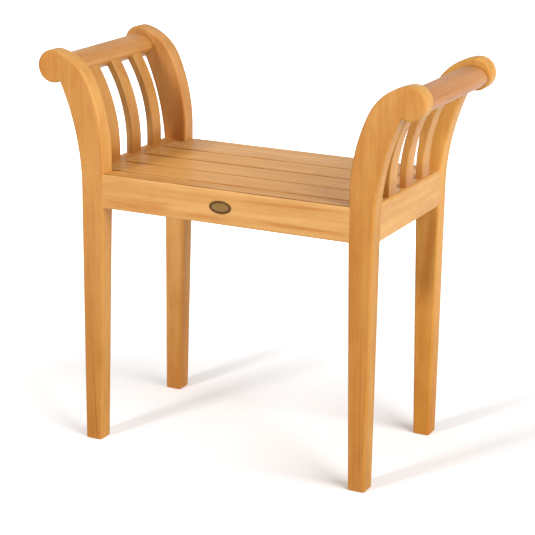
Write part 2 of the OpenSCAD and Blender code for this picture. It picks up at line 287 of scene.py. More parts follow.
class Paint(Graph):
    """The node tree of a material, with the place and the direction of the surface that is shaded."""

    def __init__(self, name: str) -> None:
        """Starts a material.

        Args:
            name: The material's name.
        """
        self.material = bpy.data.materials.new(name)
        self.material.use_nodes = True
        super().__init__(self.material.node_tree)
        self.tree.nodes.clear()
        coordinates = self.node("ShaderNodeTexCoord").outputs
        self.place, self.normal = coordinates["Object"], coordinates["Normal"]

    def tint(self, colour: Any, tint: Any, share: Any = 1.0) -> Any:
        """Multiplies a colour by a tint, in full or in part."""
        return self.blend(share, colour, tint, "MULTIPLY")

    def edge_mask(self, edges: Edges) -> Value:
        """Tells a piece's rounded edges from its faces.

        Args:
            edges: How its edges are told.

        Returns:
            A mask that is 0 on the faces and rises to 1 on the edges.
        """
        x, y, z = self.split(self.vectors("ABSOLUTE", self.normal))
        if edges is Edges.BOARD:
            flat = self.maths("MAXIMUM", self.maths("MAXIMUM", x, y), z)
        else:
            flat = self.maths("MAXIMUM", y, self.maths("SQRT", x * x + z * z))
        return self.ramp(1 - flat, 0.02, 0.26)

    def finish(self, sockets: dict[str, Any], height: Value, relief: float) -> bpy.types.Material:
        """Closes the tree with a Principled shader.

        Args:
            sockets: Values or links of the shader's inputs.
            height: Height of the surface, next to the relief.
            relief: Depth of the bump in metres.

        Returns:
            The finished material.
        """
        shader = self.node("ShaderNodeBsdfPrincipled", {}, sockets)
        bump = self.node("ShaderNodeBump", {}, {"Height": height, "Distance": relief, "Strength": 1.0})
        self.feed(shader.inputs["Normal"], bump.outputs[0])
        self.node("ShaderNodeOutputMaterial", {}, {0: shader.outputs[0]})
        return self.material


class Finish(Protocol):
    """Anything that can build a material."""

    def material(self) -> bpy.types.Material:
        """Builds the material, once."""


@dataclass(frozen=True)
class Band:
    """A soft streak of darker heartwood along a board."""

    start: Point  # X and Z of one end
    end: Point
    half_width: float
    strength: float


@dataclass
class Pattern:
    """What the grain gives at the shaded point, as numbers of a material's tree."""

    plank: Value  # number of the board in its group
    drift: Value  # slow wander of the rings
    late: Value  # the dark part of each growth ring
    streak: Value
    cloud: Value
    thread: Value
    fibre: Value
    pore: Value


@dataclass(frozen=True)
class Teak:
    """New teak under oil, with growth rings, streaks, fibres and pores that run along the grain, and with
    painted shade.
    """

    name: str
    grain: Grain
    tone: tuple[int, int, int]  # mean colour, as a screen shows it
    seed: float
    heart: Place  # a point on the heart of the tree that the piece was sawn from
    edges: Edges = Edges.BOARD
    lean: float = 0.02  # slope of the rings along the grain
    ring: float = 0.0065  # width of a growth ring
    figure: float = 0.5  # strength of the rings
    streaks: float = 0.6  # strength of the broad streaks
    threads: float = 0.8  # strength of the fine streaks
    mottle: float = 0.3  # strength of cloudy patches
    variety: float = 0.0  # how much the boards of a group differ
    wear: float = 0.18  # how much paler its edges are
    grime_and_shade: float = 0.0  # how dark the painted shade in the grooves leaves a board's edges, in place of their wear
    end_shadow: float = 0.0  # how dark the painted shadow leaves the left end of a board with painted groove shade
    top_and_edge_shade: float = 0.0  # strength of the painted shade on a board's top and of the painted dark line along its upper edge
    bands: tuple[Band, ...] = ()
    joint: float = 0.0  # Y at which the board meets a post, with painted shade near it
    foot_shade: Colour | None = None  # painted shade that darkens the wood towards its foot
    foot_shade_from: float = 0.0  # height at which that painted shade begins to fade
    foot_shade_to: float = 0.42  # height at which that painted shade ends
    face_shade: Colour | None = None  # painted shade on the faces square to Y
    face_shade_from: float = 0.0  # height from which they have it
    face_shade_top: float = 1.0  # strength that it fades to
    side_shade: Colour | None = None  # painted shade on all the faces from that height
    glue_line: float | None = None  # X of a glue line in a laminated post
    roughness: float = 0.46
    sheen: float = 0.35  # strength of its gloss

    @functools.cache
    def material(self) -> bpy.types.Material:
        """Builds the finish, once.

        Returns:
            The material.
        """
        paint = Paint(self.name)
        pattern = self._pattern(paint)
        edge = paint.edge_mask(self.edges)
        colour = self._wear_and_shade(paint, edge, self._wood(paint, pattern))
        colour = self._painted_shade(paint, self._marked(paint, pattern.drift * BAND_WANDER, colour))
        rough = self.roughness + (pattern.fibre - 0.5) * 0.16 + pattern.pore * 0.15 - edge * 0.06
        height = pattern.fibre * 0.6 + pattern.thread * 0.5 + pattern.late * 0.35 - pattern.pore
        sockets = {"Base Color": colour, "Roughness": rough, "Specular IOR Level": self.sheen}
        return paint.finish(sockets, height, FIBRE_RELIEF)

    def _tone(self, share: Vector) -> Colour:
        """The board's mean tone, made paler or darker."""
        return tuple(Vector(linear(*self.tone)) * share)

    def _pattern(self, paint: Paint) -> Pattern:
        """Works out the grain from the place in the board.

        Args:
            paint: The material's tree.

        Returns:
            The grain's pattern.
        """
        plank = Value(paint, paint.node("ShaderNodeAttribute", {"attribute_name": PLANK}).outputs["Fac"])
        apart = paint.vectors("SCALE", (0.31, 0.23, 0.47), scale=plank + self.seed)
        sockets = {"Vector": paint.place, "Rotation": self.grain.turn}
        turned = paint.node("ShaderNodeMapping", {}, sockets).outputs[0]
        shifted = paint.vectors("ADD", turned, apart)

        def layer(across: float, along: float, detail: float = 2.0, roughness: float = 0.5) -> Value:
            """Adds noise with so many cells to the metre across the grain and along it."""
            stretched = paint.vectors("MULTIPLY", shifted, (across, across, along))
            return paint.noise(stretched, 1.0, detail, roughness)

        drift = layer(across=7.0, along=2.4) - 0.5
        sway = layer(across=34.0, along=7.0) - 0.5
        heart = Euler(self.grain.turn).to_matrix() @ Vector(self.heart)
        x, y, z = paint.split(turned)
        side = x - heart.x + z * self.lean + drift * RING_WANDER[0]
        deep = y - heart.y + drift * RING_WANDER[1] + sway * RING_SWAY
        rings = paint.maths("SQRT", side * side + deep * deep) * (1 / self.ring) + sway * RING_SHAKE
        phase = paint.maths("FRACT", rings)
        return Pattern(
            plank=plank,
            drift=drift,
            late=paint.ramp(phase, 0.2, 0.88) * paint.ramp(phase, 0.88, 1.0, 1.0, 0.0),
            streak=paint.ramp(layer(across=52.0, along=2.6, detail=3.0), 0.36, 0.66),
            cloud=layer(across=38.0, along=13.0, detail=3.0, roughness=0.55),
            thread=layer(across=230.0, along=6.0, detail=3.0, roughness=0.65),
            fibre=layer(across=900.0, along=24.0, roughness=0.6),
            pore=paint.ramp(layer(across=620.0, along=30.0, detail=1.0), 0.66, 0.75),
        )

    def _wood(self, paint: Paint, pattern: Pattern) -> Any:
        """Colours the wood by its grain.

        Args:
            paint: The material's tree.
            pattern: The grain's pattern.

        Returns:
            The wood's colour.
        """
        depth = (pattern.late - 0.4) * self.figure + (pattern.streak - 0.5) * self.streaks
        depth = depth + (pattern.thread - 0.5) * self.threads + (pattern.cloud - 0.5) * (self.mottle * 2)
        depth = depth + (pattern.fibre - 0.5) * 0.3
        share = paint.ramp(depth, -0.75, 0.85)
        colour = paint.blend(share, self._tone(EARLY_WOOD), self._tone(LATE_WOOD))
        colour = paint.tint(colour, PORE_TINT, pattern.pore * 0.2)
        if self.variety:
            chance = paint.maths("SINE", pattern.plank * 2.4 + self.seed) * 0.5 + 0.5
            colour = paint.tint(colour, BOARD_TINT, chance * self.variety)
        return colour if self.glue_line is None else self._laminated(paint, colour)

    def _laminated(self, paint: Paint, colour: Any) -> Any:
        """Tints the wood beyond the glue line, and draws the line.

        Args:
            paint: The material's tree.
            colour: The wood's colour before this step.

        Returns:
            The wood's colour after this step.
        """
        x = paint.split(paint.place)[0]
        outward = x * math.copysign(1.0, self.glue_line) - abs(self.glue_line)
        colour = paint.tint(colour, GLUED_TINT, paint.ramp(outward, -0.0003, 0.0003))
        seam = 1 - paint.ramp(paint.maths("ABSOLUTE", outward), 0.0002, 0.0007)
        return paint.tint(colour, SEAM_TINT, seam * 0.35)

    def _wear_and_shade(self, paint: Paint, edge: Value, colour: Any) -> Any:
        """Rubs the board's edges pale, or darkens them and its left end with painted shade.

        Args:
            paint: The material's tree.
            edge: Mask of its edges.
            colour: The wood's colour before this step.

        Returns:
            The wood's colour after this step.
        """
        if not self.grime_and_shade:
            return paint.blend(edge * self.wear, colour, self._tone(EARLY_WOOD))
        # painted shade in the grooves: the board's rounded edges are darkened
        colour = paint.tint(colour, GROOVE_SHADE_TINT, edge * self.grime_and_shade)
        # painted shadow of the left arm, darkest at the board's left end
        end = paint.ramp(paint.split(paint.place)[0], END_SHADOW_FULL, END_SHADOW_END, self.end_shadow, 0.0)
        return paint.tint(colour, END_SHADOW_TINT, (edge * 0.7 + 0.3) * end)

    def _marked(self, paint: Paint, sway: Value, colour: Any) -> Any:
        """Draws the heartwood's streaks, and the painted shade on the top, along the upper edge and where a
        rail meets a post.

        Args:
            paint: The material's tree.
            sway: How far a streak wanders.
            colour: The wood's colour before this step.

        Returns:
            The wood's colour after this step.
        """
        for band in self.bands:
            colour = paint.tint(colour, HEART_TINT, self._band_mask(paint, band, sway))
        # painted shade on the top face, and a painted dark line of shade along the upper front edge
        if self.top_and_edge_shade:
            up = paint.split(paint.normal)[2]
            line = paint.ramp(up, 0.62, 0.76) * paint.ramp(up, 0.988, 0.9995, 1.0, 0.0)
            patchy = paint.ramp(paint.noise(paint.place, 14.0), 0.3, 0.6, 0.45, 1.0)
            colour = paint.tint(colour, TOP_SHADE_TINT, paint.ramp(up, 0.8, 0.97, 0.0, self.top_and_edge_shade))
            colour = paint.tint(colour, EDGE_SHADE_TINT, line * patchy * self.top_and_edge_shade)
        # painted shade that darkens the rail towards the post it meets
        if self.joint:
            y = paint.maths("ABSOLUTE", paint.split(paint.place)[1])
            near = paint.ramp(y, self.joint - JOINT_SHADE_REACH, self.joint, 0.0, 0.8)
            colour = paint.tint(colour, JOINT_SHADE_TINT, near)
        return colour

    @staticmethod
    def _band_mask(paint: Paint, band: Band, sway: Value) -> Value:
        """Finds a streak of heartwood, which runs along X or Z, whichever it covers more of.

        Args:
            paint: The material's tree.
            band: The streak.
            sway: How far it wanders.

        Returns:
            Its mask.
        """
        x, _, z = paint.split(paint.place)
        axes = sorted(zip((x, z), band.start, band.end), key=lambda axis: -abs(axis[2] - axis[1]))
        (run, run_start, run_end), (rise, rise_start, rise_end) = axes
        along = (run - run_start) / (run_end - run_start)
        off = paint.maths("ABSOLUTE", rise - rise_start - along * (rise_end - rise_start) + sway)
        fade = paint.ramp(along, -0.05, 0.25) * paint.ramp(along, 0.75, 1.05, 1.0, 0.0)
        return paint.ramp(off, band.half_width * 0.2, band.half_width, band.strength, 0.0) * fade

    def _painted_shade(self, paint: Paint, colour: Any) -> Any:
        """Paints shade on the board, darker towards its foot, and on its faces from a height up.

        Args:
            paint: The material's tree.
            colour: The wood's colour before this step.

        Returns:
            The wood's colour after this step.
        """
        z = paint.split(paint.place)[2]
        # painted shade, darker towards the foot
        if self.foot_shade:
            colour = paint.tint(colour, self.foot_shade, paint.ramp(z, self.foot_shade_from, self.foot_shade_to, 1.0, 0.0))
        # painted shade on the faces square to Y from a height up, and where given on all the faces from there
        if self.face_shade:
            above = paint.ramp(z, self.face_shade_from - FACE_SHADE_STEP, self.face_shade_from + FACE_SHADE_STEP)
            fading = paint.ramp(z, self.face_shade_from, self.face_shade_from + FACE_SHADE_FADE, 1.0, self.face_shade_top)
            square = paint.ramp(paint.maths("ABSOLUTE", paint.split(paint.normal)[1]), 0.3, 0.9)
            colour = paint.tint(colour, self.face_shade, above * fading * square)
            if self.side_shade:
                colour = paint.tint(colour, self.side_shade, above)
        return colour


@dataclass(frozen=True)
class Bronze:
    """Antiqued bronze: dark in its hollows, rubbed bright where it stands proud."""

    name: str = "antiqued_bronze"
    worn: Colour = linear(116, 88, 46)
    hollow: Colour = linear(70, 42, 12)
    tarnish: Colour = linear(104, 72, 34)  # clouds in the hollows
    proud_y: float = 0.0  # Y of its foremost face, which is worn most
    hollow_y: float = 0.0  # Y behind which it is all hollow

    @functools.cache
    def material(self) -> bpy.types.Material:
        """Builds the finish, once.

        Returns:
            The material.
        """
        paint = Paint(self.name)
        mottle = paint.noise(paint.place, 900.0, 4.0, 0.65)
        cloud = paint.noise(paint.place, 160.0, 3.0)
        height = paint.ramp(paint.split(paint.place)[1], self.hollow_y, self.proud_y) + (mottle - 0.5) * 0.5
        wear = paint.ramp(height, 0.35, 0.95)
        colour = paint.blend(wear, paint.blend(cloud * 0.6, self.hollow, self.tarnish), self.worn)
        rough = 0.52 - wear * 0.2 + (mottle - 0.5) * 0.2
        sockets = {"Base Color": colour, "Metallic": 0.75, "Roughness": rough}
        return paint.finish(sockets, mottle, BRONZE_RELIEF)


@dataclass(frozen=True)
class Stainless:
    """Turned stainless steel, with fine rings of tool marks and a little grime."""

    name: str = "turned_stainless"
    bright: Colour = linear(205, 205, 208)
    grime_and_shade: Colour = linear(126, 120, 112)

    @functools.cache
    def material(self) -> bpy.types.Material:
        """Builds the finish, once.

        Returns:
            The material.
        """
        paint = Paint(self.name)
        cloud = paint.noise(paint.place, 240.0, 4.0, 0.6)
        marks = paint.noise(paint.vectors("MULTIPLY", paint.place, (300.0, 300.0, 4000.0)), 1.0)
        colour = paint.blend(paint.ramp(cloud, 0.5, 0.75), self.bright, self.grime_and_shade)
        rough = 0.3 + (cloud - 0.5) * 0.25 + (marks - 0.5) * 0.15
        sockets = {"Base Color": colour, "Metallic": 1.0, "Roughness": rough}
        return paint.finish(sockets, marks, STEEL_RELIEF)


def dress(piece: bpy.types.Object, finish: Finish, nodes: Sequence[str]) -> None:
    """Gives a new piece its finish, and puts it in the place of the solids that it stands for.

    Args:
        piece: The new piece.
        finish: Its finish.
        nodes: The solids that it stands for.
    """
    piece.data.materials.clear()
    piece.data.materials.append(finish.material())
    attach(piece, ROOT)
    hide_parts(*nodes)
    log.info("%s stands for %s, with %d faces", piece.name, ", ".join(nodes), len(piece.data.polygons))


def keep_solid(node: str, finish: Finish) -> None:
    """Gives a solid that stays as it is a worked-out finish in place of its plain colour.

    Args:
        node: The solid's name.
        finish: Its finish.
    """
    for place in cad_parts[node].material_slots:
        place.material = finish.material()
    log.info("%s stays as the solid", node)


def clean(mesh: bpy.types.Mesh) -> None:
    """Merges doubled points and turns every face outwards.

    Args:
        mesh: The mesh, changed in place.
    """
    work = bmesh.new()
    work.from_mesh(mesh)
    bmesh.ops.remove_doubles(work, verts=work.verts, dist=MERGE)
    bmesh.ops.recalc_face_normals(work, faces=work.faces)
    work.to_mesh(mesh)
    work.free()


def shade(piece: bpy.types.Object, crease: float = 40.0) -> None:
    """Shades a piece smoothly, with its large faces flat.

    Args:
        piece: The piece.
        crease: Angle over which an edge stays sharp.
    """
    piece.data.shade_smooth()
    piece.data.set_sharp_from_angle(angle=math.radians(crease))
    weighting = piece.modifiers.new("flat_faces", "WEIGHTED_NORMAL")
    weighting.keep_sharp = True
    weighting.weight = 100


def loft(name: str, rings: Sequence[Sequence[Vector]]) -> bpy.types.Object:
    """Skins a closed solid over a row of rings that all have the same number of points.

    Args:
        name: The piece's name.
        rings: The rings, from one end to the other.

    Returns:
        The new piece, at the origin.
    """
    count = len(rings[0])
    faces = [tuple(range(count)), tuple(reversed(range((len(rings) - 1) * count, len(rings) * count)))]
    for row in range(len(rings) - 1):
        for i in range(count):
            j = (i + 1) % count
            faces.append((row * count + i, (row + 1) * count + i, (row + 1) * count + j, row * count + j))
    mesh = bpy.data.meshes.new(name)
    mesh.from_pydata([point for ring in rings for point in ring], [], faces)
    clean(mesh)
    piece = bpy.data.objects.new(name, mesh)
    bpy.context.scene.collection.objects.link(piece)
    shade(piece)
    return piece


def arc(centre: Point, radius: float, start: float, end: float, steps: int) -> list[Point]:
    """Points along an arc, both ends included, with angles in radians."""
    angles = (start + (end - start) * i / steps for i in range(steps + 1))
    return [(centre[0] + radius * math.cos(a), centre[1] + radius * math.sin(a)) for a in angles]


def rounded(corners: Sequence[Point], radii: Sequence[float], steps: int = 5) -> list[Point]:
    """Rounds each corner of a polygon.

    Args:
        corners: Its corners, in order.
        radii: Radius at each corner.
        steps: Points along each rounded corner, less one.

    Returns:
        The points of the rounded outline.
    """
    points = []
    for i, (corner, radius) in enumerate(zip(corners, radii)):
        here = Vector(corner)
        to_last = (Vector(corners[i - 1]) - here).normalized()
        to_next = (Vector(corners[(i + 1) % len(corners)]) - here).normalized()
        half = to_last.angle(to_next) / 2
        centre = here + (to_last + to_next).normalized() * radius / math.sin(half)
        first = here + to_last * radius / math.tan(half) - centre
        last = here + to_next * radius / math.tan(half) - centre
        start = math.atan2(first.y, first.x)
        points += arc(tuple(centre), radius, start, start - first.angle_signed(last), steps)
    return points


def eased(low: float, high: float, radius: float, steps: int = 6) -> list[Point]:
    """Places along an extrusion, each with how far its ring draws in, for ends eased to a quarter round.

    Args:
        low: Where the extrusion starts.
        high: Where it ends.
        radius: Radius of the eased edges.
        steps: Rings in each quarter round, less one.

    Returns:
        Pairs of a place and an inset.
    """
    quarter = [math.pi / 2 * (steps - i) / steps for i in range(steps + 1)]
    first = [(low + radius * (1 - math.sin(a)), radius * (1 - math.cos(a))) for a in quarter]
    return first + [(low + high - place, inset) for place, inset in reversed(first)]


def bearing(azimuth: float, elevation: float) -> Vector:
    """The direction of a place seen from the seat: 0 in front, 90 to the right, and up from the horizon."""
    a, e = math.radians(azimuth), math.radians(elevation)
    return Vector((math.sin(a) * math.cos(e), -math.cos(a) * math.cos(e), math.sin(e)))


class Recipe(Graph):
    """A geometry tree with named number inputs, which is run once and leaves a plain mesh."""

    def __init__(self, name: str) -> None:
        """Starts a tree with one geometry output.

        Args:
            name: The tree's name.
        """
        tree = bpy.data.node_groups.new(name, "GeometryNodeTree")
        tree.interface.new_socket("Geometry", in_out="OUTPUT", socket_type="NodeSocketGeometry")
        super().__init__(tree)
        self.given = self.node("NodeGroupInput")
        self.place = self.node("GeometryNodeInputPosition").outputs[0]  # of each point
        self.sizes: dict[str, float] = {}

    def size(self, name: str, value: float) -> Value:
        """Adds a named size to the tree's inputs.

        Args:
            name: What the size is.
            value: Its value in this use.

        Returns:
            The size, for use in the tree.
        """
        socket = self.tree.interface.new_socket(name, in_out="INPUT", socket_type="NodeSocketFloat")
        self.sizes[socket.identifier] = value
        return Value(self, self.given.outputs[name])

    def put(self, geometry: Any, place: Any) -> Any:
        """Moves each point of a geometry to a place of its own."""
        return self.node("GeometryNodeSetPosition", {}, {"Geometry": geometry, "Position": place}).outputs[0]

    def shift(self, geometry: Any, place: Any, turn: Any = ORIGIN) -> Any:
        """Turns a geometry and moves it to a place."""
        sockets = {"Geometry": geometry, "Translation": place, "Rotation": turn}
        return self.node("GeometryNodeTransform", {}, sockets).outputs[0]

    def cone(self, sides: int, bottom: Any, top: Any, depth: Any) -> Any:
        """A cone, cut off at the top, that stands on the origin."""
        sockets = {"Vertices": sides, "Radius Bottom": bottom, "Radius Top": top, "Depth": depth}
        return self.node("GeometryNodeMeshCone", {}, sockets).outputs["Mesh"]

    def gather(self, parts: Sequence[Any], kind: str = "GeometryNodeJoinGeometry",
               into: Any = 0) -> bpy.types.Node:
        """Adds a node that takes several geometries in one input.

        Args:
            parts: The geometries.
            kind: The node's type.
            into: The input that takes them.

        Returns:
            The node.
        """
        node = self.node(kind)
        for part in parts:
            self.tree.links.new(part, node.inputs[into])
        return node

    def block(self, half: Sequence[float], easing: float) -> Any:
        """A block about the origin with all its edges rounded, whose sizes become inputs of the tree."""
        halves = [self.size(f"Half size {axis}", value) for axis, value in zip("XYZ", half)]
        return self.soft_block(halves, self.size("Edge radius", easing))

    def soft_block(self, half: Sequence[Any], radius: Any, cells: tuple[int, ...] = (11, 11, 11)) -> Any:
        """A block about the origin with all its edges rounded, from sizes that are in the tree already.

        Args:
            half: Half its size along each axis.
            radius: Radius of its edges.
            cells: Points along each axis of the cube that it is made from.

        Returns:
            The block's geometry.
        """
        counts = {f"Vertices {axis}": count for axis, count in zip("XYZ", cells)}
        cube = self.node("GeometryNodeMeshCube", {}, {"Size": (2.0, 2.0, 2.0), **counts})
        core = []
        bend = []
        for value, reach, count in zip(self.split(self.place), half, cells):
            flat = 1 - 2 * EDGE_CELLS / (count - 1)  # share of the side between its two rounded edges
            sign = self.maths("SIGN", value)
            size = self.maths("ABSOLUTE", value)
            core.append(sign * self.maths("MINIMUM", size * (1 / flat), 1.0) * (reach - radius))
            bend.append(sign * self.maths("MAXIMUM", (size - flat) * (1 / (1 - flat)), 0.0))
        outward = self.vectors("SCALE", self.vectors("NORMALIZE", self.join(*bend)), scale=radius)
        return self.put(cube.outputs[0], self.vectors("ADD", self.join(*core), outward))

    def row(self, geometry: Any, count: int, start: Any, step: Any = ORIGIN, first: float = 0.0) -> Any:
        """Repeats a geometry in a straight row, and numbers the copies.

        Args:
            geometry: What to repeat.
            count: How many copies.
            start: Place of the first.
            step: From one to the next.
            first: Number of the first copy.

        Returns:
            The copies, as instances.
        """
        sockets = {"Count": count, "Start Location": start, "Offset": step}
        line = self.node("GeometryNodeMeshLine", {}, sockets)
        return self.copies(geometry, line.outputs[0], first)

    def copies(self, geometry: Any, points: Any, first: float = 0.0) -> Any:
        """Puts a copy of a geometry on each point, and numbers the copies.

        Args:
            geometry: What to repeat.
            points: The points.
            first: Number of the first copy.

        Returns:
            The copies, as instances.
        """
        sockets = {"Points": points, "Instance": geometry}
        copies = self.node("GeometryNodeInstanceOnPoints", {}, sockets).outputs[0]
        number = Value(self, self.node("GeometryNodeInputIndex").outputs[0]) + first
        settings = {"data_type": "FLOAT", "domain": "INSTANCE"}
        sockets = {"Geometry": copies, "Name": PLANK, "Value": number}
        return self.node("GeometryNodeStoreNamedAttribute", settings, sockets).outputs[0]

    def run(self, name: str, geometry: Any, finish: Finish, crease: float = 40.0) -> bpy.types.Object:
        """Runs the tree and keeps its result as a plain mesh.

        Args:
            name: The new piece's name.
            geometry: What the tree gives.
            finish: The finish that it sets.
            crease: Angle over which an edge stays sharp.

        Returns:
            The new piece, at the origin.
        """
        real = self.node("GeometryNodeRealizeInstances", {}, {0: geometry}).outputs[0]
        painted = self.node("GeometryNodeSetMaterial", {}, {"Geometry": real, "Material": finish.material()})
        self.node("NodeGroupOutput", {}, {0: painted.outputs[0]})
        piece = bpy.data.objects.new(name, bpy.data.meshes.new(name))
        bpy.context.scene.collection.objects.link(piece)
        modifier = piece.modifiers.new("recipe", "NODES")
        modifier.node_group = self.tree
        for identifier, value in self.sizes.items():
            modifier[identifier] = value
        graph = bpy.context.evaluated_depsgraph_get()
        mesh = bpy.data.meshes.new_from_object(piece.evaluated_get(graph), depsgraph=graph)
        piece.modifiers.remove(modifier)
        piece.data = mesh
        clean(mesh)
        shade(piece, crease)
        return piece


def board(name: str, node: str, finish: Teak, slot: str, low: Vector, high: Vector, easing: float) -> None:
    """Builds one straight board with eased edges.

    Args:
        name: The new piece's name.
        node: The solid that it stands for.
        finish: Its teak.
        slot: Not used.
        low: Its lowest corner.
        high: Its highest corner.
        easing: Radius of its edges.
    """
    recipe = Recipe(name)
    block = recipe.shift(recipe.block((high - low) / 2, easing), tuple((low + high) / 2))
    dress(recipe.run(name, block, finish), finish, [node])


@dataclass
class Posts:
    """The four posts, each sawn in one curve from a tapered foot to a scroll."""

    frame_x: float = 0.25125  # outer face at the seat
    width: float = 0.04075  # front face at the seat
    foot_width: float = 0.029
    foot_draw: float = 0.002  # how far the outer face leans in at the foot
    outer_start: float = 0.4215  # height at which the outer edge begins to curve
    inner_start: float = 0.473
    apron_z: float = 0.394  # height at which the taper begins
    outer_radius: float = 0.395
    inner_radius: float = 0.282
    shoulder_radius: float = 0.0845
    scroll_radius: float = 0.02625
    edge: float = 0.0042  # radius of the rounded edges
    sole_share: float = 0.35  # how much of that rounding the sole has
    foot_edge: float = 0.0030  # radius of the foot's corners
    foot_fade: float = 0.6  # how fast they sharpen towards the faces
    foot_sharp: float = 0.0004  # their least radius
    taper_shares: Point = (0.33, 0.67)  # places of the points along the taper
    steps: tuple[int, ...] = (28, 44, 18, 22)  # along the outer curve, scroll, shoulder and inner curve

    def __post_init__(self) -> None:
        """Reads the scroll's place from the frame, and works out the arcs' centres."""
        _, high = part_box("post_front_right")
        self.inner_x = self.frame_x - self.width
        self.scroll = Vector((high.x - self.scroll_radius, high.z - self.scroll_radius))
        self.outer_centre = Vector((self.frame_x + self.outer_radius, self.outer_start))
        self.inner_centre = Vector((self.inner_x + self.inner_radius, self.inner_start))
        step = self.inner_radius - self.shoulder_radius
        reach = self.scroll - self.inner_centre
        near = self.shoulder_radius - self.scroll_radius
        along = (step ** 2 + reach.length_squared - near ** 2) / (2 * step)
        self.ray = math.atan2(reach.y, reach.x) + math.acos(along / reach.length)
        self.shoulder = self.inner_centre + step * Vector((math.cos(self.ray), math.sin(self.ray)))
        head = self.scroll - self.shoulder
        self.head = math.atan2(head.y, head.x)

    def build(self) -> None:
        """Builds the four posts."""
        # each post's tone and heartwood streaks, with painted shade towards its foot and on its faces
        woods: dict[tuple[str, Side], dict[str, Any]] = {
            ("front", Side.LEFT): {
                "tone": (217, 160, 87), "foot_shade": (0.87, 0.79, 0.60), "face_shade": (0.90, 0.81, 0.77),
                "glue_line": -0.3048,
                "bands": (Band((-0.2345, 0.150), (-0.2260, -0.020), 0.0016, 1.0),),
            },
            ("front", Side.RIGHT): {
                "tone": (213, 159, 85), "foot_shade": (0.83, 0.74, 0.555), "foot_shade_from": 0.40, "foot_shade_to": 0.72,
                "face_shade": (1.05, 0.96, 1.00),
                "bands": (Band((0.2370, 0.280), (0.2390, -0.020), 0.0024, 0.55),
                          Band((0.2290, 0.220), (0.2300, -0.030), 0.0016, 0.5)),
            },
            ("back", Side.LEFT): {
                "tone": (246, 188, 112), "foot_shade": (0.70, 0.55, 0.38), "foot_shade_to": 0.50,
                "face_shade": (0.80, 0.60, 0.35), "face_shade_from": 0.42, "face_shade_top": 0.15,
                "side_shade": (0.64, 0.56, 0.51),
                "bands": (Band((-0.2185, 0.430), (-0.2225, 0.030), 0.0050, 0.4),),
            },
            ("back", Side.RIGHT): {
                "tone": (214, 155, 77), "foot_shade": (0.83, 0.69, 0.44), "foot_shade_to": 0.44,
                "bands": (Band((0.2480, 0.420), (0.2250, 0.200), 0.0110, 0.6),),
            },
        }
        for number, ((row, side), wood) in enumerate(woods.items()):
            heart = (side.value * (0.16 + 0.03 * number), -0.09 + 0.05 * number, 0.0)
            finish = Teak(f"teak_post_{row}_{side.word}", Grain.ALONG_Z, seed=3.1 + 1.7 * number, heart=heart,
                          edges=Edges.SWEPT, figure=0.12, streaks=0.5, threads=0.4, mottle=0.9, wear=0.0,
                          sheen=0.15, **wood)
            self._post(row, side, finish)

    def outline(self, inset: float) -> list[Point]:
        """Draws a right-hand post in X and Z.

        Args:
            inset: How far to draw it in from the true outline.

        Returns:
            The outline's points, in order.
        """
        sole = inset * self.sole_share
        outer_foot = self.frame_x - self.foot_draw - inset
        inner_foot = self.frame_x - self.foot_draw - self.foot_width + inset
        corner = max(self.foot_edge - inset * self.foot_fade, self.foot_sharp)
        points = arc((inner_foot + corner, sole + corner), corner, -math.pi, -math.pi / 2, 3)
        points += arc((outer_foot - corner, sole + corner), corner, -math.pi / 2, 0.0, 3)
        points += [(outer_foot + self.foot_draw * share, self.apron_z * share) for share in self.taper_shares]
        points += [(self.frame_x - inset, z) for z in (self.apron_z, self.outer_start)]
        notch_outer, notch_scroll = self._notch(inset)
        curves = (
            (self.outer_centre, self.outer_radius + inset, math.pi, notch_outer),
            (self.scroll, self.scroll_radius - inset, notch_scroll, self.head),
            (self.shoulder, self.shoulder_radius - inset, self.head, self.ray),
            (self.inner_centre, self.inner_radius - inset, self.ray, math.pi),
        )
        for (centre, radius, start, end), steps in zip(curves, self.steps):
            points += arc(tuple(centre), radius, start, end, steps)[1:]
        return points + [(self.inner_x + inset, self.apron_z)]

    def _notch(self, inset: float) -> Point:
        """Finds the crease where the outer curve meets the scroll.

        Args:
            inset: How far the outline is drawn in.

        Returns:
            The crease's angles about the outer curve's centre and about the scroll's.
        """
        big = self.outer_radius + inset
        small = self.scroll_radius - inset
        gap = self.scroll - self.outer_centre
        opening = math.acos((big ** 2 + gap.length_squared - small ** 2) / (2 * big * gap.length))
        turn = (math.atan2(gap.y, gap.x) + opening) % (2 * math.pi)
        spoke = self.outer_centre + big * Vector((math.cos(turn), math.sin(turn))) - self.scroll
        return turn, math.atan2(spoke.y, spoke.x)

    def _post(self, row: str, side: Side, finish: Teak) -> None:
        """Builds one post.

        Args:
            row: front or back.
            side: Left or right.
            finish: Its teak.
        """
        node = f"post_{row}_{side.word}"
        low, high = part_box(node)
        rings = []
        for y, inset in eased(low.y, high.y, self.edge):
            rings.append([Vector((side.value * x, y, z)) for x, z in self.outline(inset)])
        dress(loft(f"{row}_{side.word}_post", rings), finish, [node])


